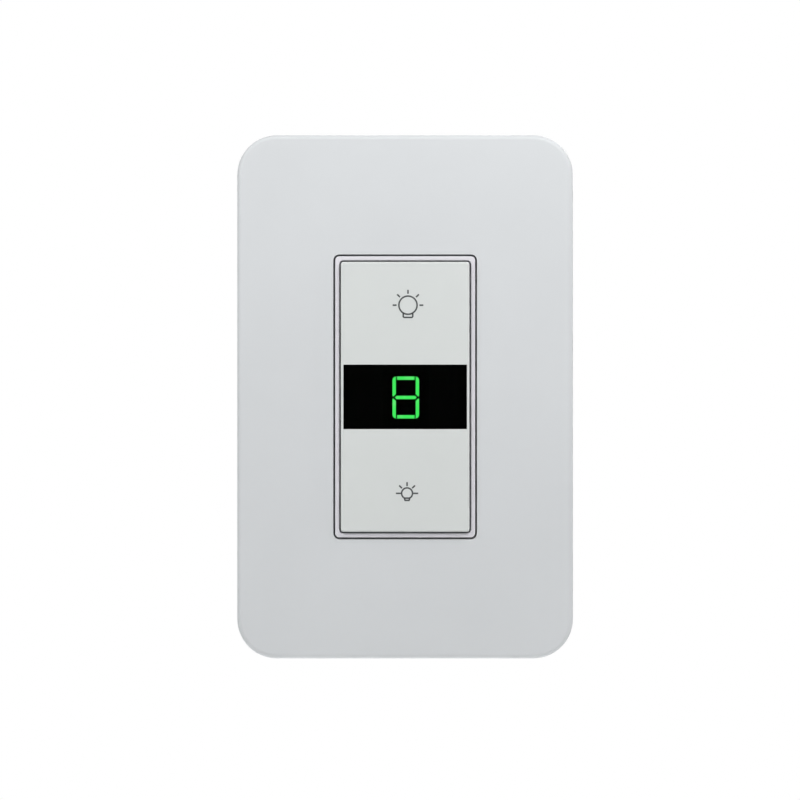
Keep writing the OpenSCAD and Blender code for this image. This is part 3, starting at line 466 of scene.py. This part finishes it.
class DIMMER_OT_metalwork(bpy.types.Operator):
    """Finish the strap, the screws and the terminals"""

    bl_idname = "dimmer.metalwork"
    bl_label = "Metalwork"

    def execute(self, context):
        colours = context.scene.dimmer_colours
        # The strap's dark tone is painted shade for the gaps round the frame
        dress(rolled_metal("shade_darkened_aluminium", colours.strap, 0.6), "strap")
        zinc = plated_metal("zinc_plate", (0.62, 0.62, 0.63), 0.3)
        dress(zinc, "plate_screws", "housing_screws", "triac_screw", "terminal_clamps")
        dress(plated_metal("green_anodising", (0.04, 0.32, 0.1), 0.32), "ground_screw")
        brass = plated_metal("turned_brass", (0.72, 0.5, 0.2), 0.26)
        dress(brass, "terminal_screws", "terminal_strips")
        dress(plated_metal("gold_flash", (0.82, 0.6, 0.24), 0.25), "header_pins")
        tin = plated_metal("dull_tin", (0.66, 0.66, 0.63), 0.4)
        dress(tin, "switch_terminals", "triac_leadframe")
        return {"FINISHED"}


class DIMMER_OT_circuit(bpy.types.Operator):
    """Finish the circuit boards and the parts on them"""

    bl_idname = "dimmer.circuit"
    bl_label = "Circuit"

    def execute(self, context):
        board = Finish("solder_mask", (0.015, 0.13, 0.06), 0.32)
        tracks = board.noise(420, 2, board.stretch((1, 1, 0.2)))
        board.tint(board.ranged(tracks, 0, 1, 0.45, 0.5), 0.8, 1.7)
        board.bump(tracks, 0.03 * MM, strength=0.5)
        dress(board, "control_board", "power_board")
        black = sparked_plastic("device_black", (0.025, 0.025, 0.028), 0.5)
        dress(black, "control_chip", "header_blocks", "triac_body")
        dress(moulded_plastic("silicone_pad", (0.42, 0.42, 0.4), 0.7), "thermal_pad")
        dress(moulded_plastic("coated_ferrite", (0.05, 0.06, 0.05), 0.5), "choke_core")
        dress(plated_metal("enamelled_copper", (0.62, 0.2, 0.06), 0.3), "choke_winding")
        dress(moulded_plastic("film_box", (0.7, 0.46, 0.05), 0.38), "film_capacitor")
        dress(moulded_plastic("sleeved_can", (0.02, 0.035, 0.1), 0.3), "electrolytic_capacitor")
        dress(moulded_plastic("glazed_ceramic", (0.66, 0.6, 0.48), 0.3), "fuse")
        dress(moulded_plastic("dipped_blue", (0.02, 0.08, 0.34), 0.3), "varistor")
        return {"FINISHED"}


class DIMMER_OT_housing(bpy.types.Operator):
    """Finish the rear housing and the insulating sheet"""

    bl_idname = "dimmer.housing"
    bl_label = "Rear Housing"

    def execute(self, context):
        colours = context.scene.dimmer_colours
        dress(sparked_plastic("housing_black", colours.housing, 0.55), "rear_housing")
        paper = Finish("fish_paper", (0.22, 0.12, 0.05), 0.7)
        paper.drift(scale=700, detail=6, darker=0.75, lighter=1.25)
        paper.bump(paper.noise(2200, 4), 0.02 * MM, strength=0.5)
        dress(paper, "insulating_sheet")
        return {"FINISHED"}


def coil_spring(name, low, high, springs):
    """A wire coiled along Y between two corners of a box, with its end turns lying flat"""
    wire_r = springs.wire / 2
    coil_r = (high.x - low.x) / 2 - wire_r
    centre_x, centre_z = (low.x + high.x) / 2, (low.z + high.z) / 2
    steps_a_turn, sides = 30, 10
    steps = steps_a_turn * springs.turns
    ease = steps_a_turn / 2

    def fill(shape):
        climb = [0]
        for k in range(1, steps + 1):
            climb.append(climb[-1] + min(1, k / ease, (steps - k + 1) / ease))
        rings = []
        for k in range(steps + 1):
            turn = 2 * math.pi * springs.turns * k / steps
            middle = low.y + wire_r + (high.y - low.y - 2 * wire_r) * climb[k] / climb[-1]
            ring = []
            for m in range(sides):
                round_wire = 2 * math.pi * m / sides
                r = coil_r + wire_r * math.cos(round_wire)
                ring.append(shape.verts.new((
                    centre_x + r * math.cos(turn),
                    middle + wire_r * math.sin(round_wire),
                    centre_z + r * math.sin(turn))))
            rings.append(ring)
        for here, there in zip(rings, rings[1:]):
            for m in range(sides):
                n = (m + 1) % sides
                shape.faces.new((here[m], there[m], there[n], here[n]))
        shape.faces.new(rings[0])
        shape.faces.new(rings[-1])

    spring = new_piece(name, fill)
    for face in spring.data.polygons:
        face.use_smooth = len(face.vertices) == 4
    return spring


class DIMMER_OT_push_switches(bpy.types.Operator):
    """Finish the push switches under the paddle, and coil their springs"""

    bl_idname = "dimmer.push_switches"
    bl_label = "Push Switches"

    def execute(self, context):
        case = sparked_plastic("switch_black", (0.03, 0.03, 0.032), 0.5)
        stem = moulded_plastic("plunger_white", (0.74, 0.74, 0.7), 0.3)
        wire = plated_metal("spring_wire", (0.5, 0.5, 0.51), 0.25)
        for side in ("upper", "lower"):
            dress(case, f"{side}_switch_case")
            dress(stem, f"{side}_switch_plunger")
            dress(wire, f"{side}_switch_spring")
            low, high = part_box(f"{side}_switch_spring")
            spring = coil_spring(f"{side}_spring_wire", low, high, context.scene.dimmer_springs)
            spring.data.materials.append(wire.material)
            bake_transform(spring)
            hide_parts(f"{side}_switch_spring")
        return {"FINISHED"}


class DIMMER_OT_stage(bpy.types.Operator):
    """Set up the camera, the floor, the lamps and the white surroundings"""

    bl_idname = "dimmer.stage"
    bl_label = "Stage"

    def execute(self, context):
        stage = context.scene.dimmer_stage
        self.set_camera(context, stage)
        self.lay_floor(stage)
        self.hang_lamps(stage)
        self.light_world(context, stage)
        context.scene.view_settings.view_transform = "Standard"
        return {"FINISHED"}

    def set_camera(self, context, stage):
        """Stands the camera where the plate covers the same pixels as in the photograph"""
        pixel = (PLATE_HIGH.z - PLATE_LOW.z) / (PLATE_BOTTOM_PX - PLATE_TOP_PX)
        centre = (PLATE_LOW + PLATE_HIGH) / 2
        right = (PLATE_LEFT_PX + PLATE_RIGHT_PX - PHOTO_SIZE) / 2 * pixel
        down = (PLATE_TOP_PX + PLATE_BOTTOM_PX - PHOTO_SIZE) / 2 * pixel
        distance = pixel * PHOTO_SIZE * stage.lens / SENSOR
        data = bpy.data.cameras.new("photo_camera")
        data.lens = stage.lens
        data.sensor_width = SENSOR
        data.clip_end = 20
        camera = bpy.data.objects.new("photo_camera", data)
        camera.location = (centre.x - right, PLATE_LOW.y - distance, centre.z + down)
        camera.rotation_euler = (math.radians(90), 0, 0)
        context.scene.collection.objects.link(camera)
        context.scene.camera = camera

    def lay_floor(self, stage):
        """A pale oval floor below the part, whose rim fades into the white surroundings"""
        half_w, half_d, segments = 0.34, 0.29, 64
        forward = 0.12

        def fill(shape):
            turns = [2 * math.pi * k / segments for k in range(segments)]
            rim = [shape.verts.new((half_w * math.cos(a), half_d * math.sin(a), 0)) for a in turns]
            shape.faces.new(rim)

        floor = new_piece("floor", fill)
        floor.location = (0, -forward, -stage.floor_drop)
        paint = Finish("floor_paint", (0.8, 0.8, 0.8), 0.6)
        paint.drift(scale=6, detail=3, darker=0.99, lighter=1.01)
        self.pale(paint, stage.floor_glow)
        self.fade(paint, (1 / half_w, 1 / half_d, 1))
        floor.data.materials.append(paint.material)

    def pale(self, paint, strength):
        """Lets the camera see the floor a little lighter than its lamps make it"""
        path = paint.add("ShaderNodeLightPath")
        glow = paint.add("ShaderNodeMath", operation="MULTIPLY")
        glow.inputs[1].default_value = strength
        paint.join(path.outputs["Is Camera Ray"], glow.inputs[0])
        paint.shader.inputs["Emission Color"].default_value = (1, 1, 1, 1)
        paint.join(glow.outputs[0], paint.shader.inputs["Emission Strength"])

    def fade(self, paint, scale):
        """Thins the floor to nothing towards its rim"""
        reach = paint.add("ShaderNodeVectorMath", operation="LENGTH")
        paint.join(paint.stretch(scale), reach.inputs[0])
        clear = paint.add("ShaderNodeBsdfTransparent")
        mix = paint.add("ShaderNodeMixShader")
        paint.join(paint.ranged(reach.outputs["Value"], 0, 1, 0.6, 0.98), mix.inputs["Fac"])
        paint.join(paint.shader.outputs["BSDF"], mix.inputs[1])
        paint.join(clear.outputs["BSDF"], mix.inputs[2])
        paint.join(mix.outputs["Shader"], paint.tree.nodes["Material Output"].inputs["Surface"])

    def hang_lamps(self, stage):
        """A raised pair in front, one lamp at each side, a strip below the plate and one behind

        Each lamp has a place, a width and height, and a share of the key lamp's power.
        """
        aim = (PLATE_LOW + PLATE_HIGH) / 2
        above_floor = 4 * MM - stage.floor_drop
        for name, place, size, share in (
            ("key_lamp", (0.17, -0.2, 0.23), (0.2, 0.2), 1),
            ("left_lamp", (-0.22, -0.2, 0.22), (0.2, 0.2), 0.77),
            ("fill_lamp", (-0.7, -0.5, -0.03), (0.6, 0.6), 1.47),
            ("edge_lamp", (0.6, -0.06, 0), (0.2, 0.2), 0.65),
            ("low_lamp", (0, 0, above_floor), (0.13, 0.03), 0.022),
            ("back_lamp", (0.25, 1.15, 0.3), (0.6, 0.6), 13),
        ):
            data = bpy.data.lights.new(name, "AREA")
            data.shape = "RECTANGLE"
            data.size, data.size_y = size
            data.energy = stage.key_power * share
            lamp = bpy.data.objects.new(name, data)
            lamp.location = place
            lamp.rotation_euler = (aim - lamp.location).to_track_quat("-Z", "Y").to_euler()
            bpy.context.scene.collection.objects.link(lamp)

    def light_world(self, context, stage):
        """White for what the camera, gloss and glass see, and an even grey light for the rest"""
        world = bpy.data.worlds.new("studio")
        world.use_nodes = True
        nodes, links = world.node_tree.nodes, world.node_tree.links
        nodes.clear()
        path = nodes.new("ShaderNodeLightPath")
        seen = path.outputs["Is Camera Ray"]
        for ray in ("Is Glossy Ray", "Is Transmission Ray"):
            either = nodes.new("ShaderNodeMath")
            either.operation = "MAXIMUM"
            links.new(seen, either.inputs[0])
            links.new(path.outputs[ray], either.inputs[1])
            seen = either.outputs[0]
        backdrop = nodes.new("ShaderNodeBackground")
        backdrop.inputs["Color"].default_value = (1, 1, 1, 1)
        ambient = nodes.new("ShaderNodeBackground")
        ambient.inputs["Color"].default_value = (1, 1, 1, 1)
        ambient.inputs["Strength"].default_value = stage.ambient
        mix = nodes.new("ShaderNodeMixShader")
        links.new(seen, mix.inputs["Fac"])
        links.new(ambient.outputs["Background"], mix.inputs[1])
        links.new(backdrop.outputs["Background"], mix.inputs[2])
        output = nodes.new("ShaderNodeOutputWorld")
        links.new(mix.outputs["Shader"], output.inputs["Surface"])
        context.scene.world = world


class DIMMER_PT_panel(bpy.types.Panel):
    """Lists the pieces and their sizes in the sidebar"""

    bl_label = "Digital Dimmer Switch"
    bl_idname = "DIMMER_PT_panel"
    bl_space_type = "VIEW_3D"
    bl_region_type = "UI"
    bl_category = "Dimmer"

    def draw(self, context):
        layout = self.layout
        scene = context.scene
        for group in (scene.dimmer_colours, scene.dimmer_marks, scene.dimmer_springs, scene.dimmer_stage):
            box = layout.box()
            for key in group.__annotations__:
                box.prop(group, key)
        for operator in OPERATORS:
            layout.operator(operator.bl_idname)


OPERATORS = (
    DIMMER_OT_stage,
    DIMMER_OT_white_plastics,
    DIMMER_OT_window,
    DIMMER_OT_display,
    DIMMER_OT_bulb_marks,
    DIMMER_OT_metalwork,
    DIMMER_OT_circuit,
    DIMMER_OT_housing,
    DIMMER_OT_push_switches,
)
GROUPS = (DimmerColours, DimmerMarks, DimmerSprings, DimmerStage)


def register():
    for item in (*GROUPS, *OPERATORS, DIMMER_PT_panel):
        bpy.utils.register_class(item)
    bpy.types.Scene.dimmer_colours = bpy.props.PointerProperty(type=DimmerColours)
    bpy.types.Scene.dimmer_marks = bpy.props.PointerProperty(type=DimmerMarks)
    bpy.types.Scene.dimmer_springs = bpy.props.PointerProperty(type=DimmerSprings)
    bpy.types.Scene.dimmer_stage = bpy.props.PointerProperty(type=DimmerStage)


def unregister():
    del bpy.types.Scene.dimmer_stage
    del bpy.types.Scene.dimmer_springs
    del bpy.types.Scene.dimmer_marks
    del bpy.types.Scene.dimmer_colours
    for item in reversed((*GROUPS, *OPERATORS, DIMMER_PT_panel)):
        bpy.utils.unregister_class(item)


def main():
    register()
    bpy.ops.dimmer.stage()
    bpy.ops.dimmer.white_plastics()
    bpy.ops.dimmer.window()
    bpy.ops.dimmer.display()
    bpy.ops.dimmer.bulb_marks()
    bpy.ops.dimmer.metalwork()
    bpy.ops.dimmer.circuit()
    bpy.ops.dimmer.housing()
    bpy.ops.dimmer.push_switches()


if __name__ == "__main__":
    main()
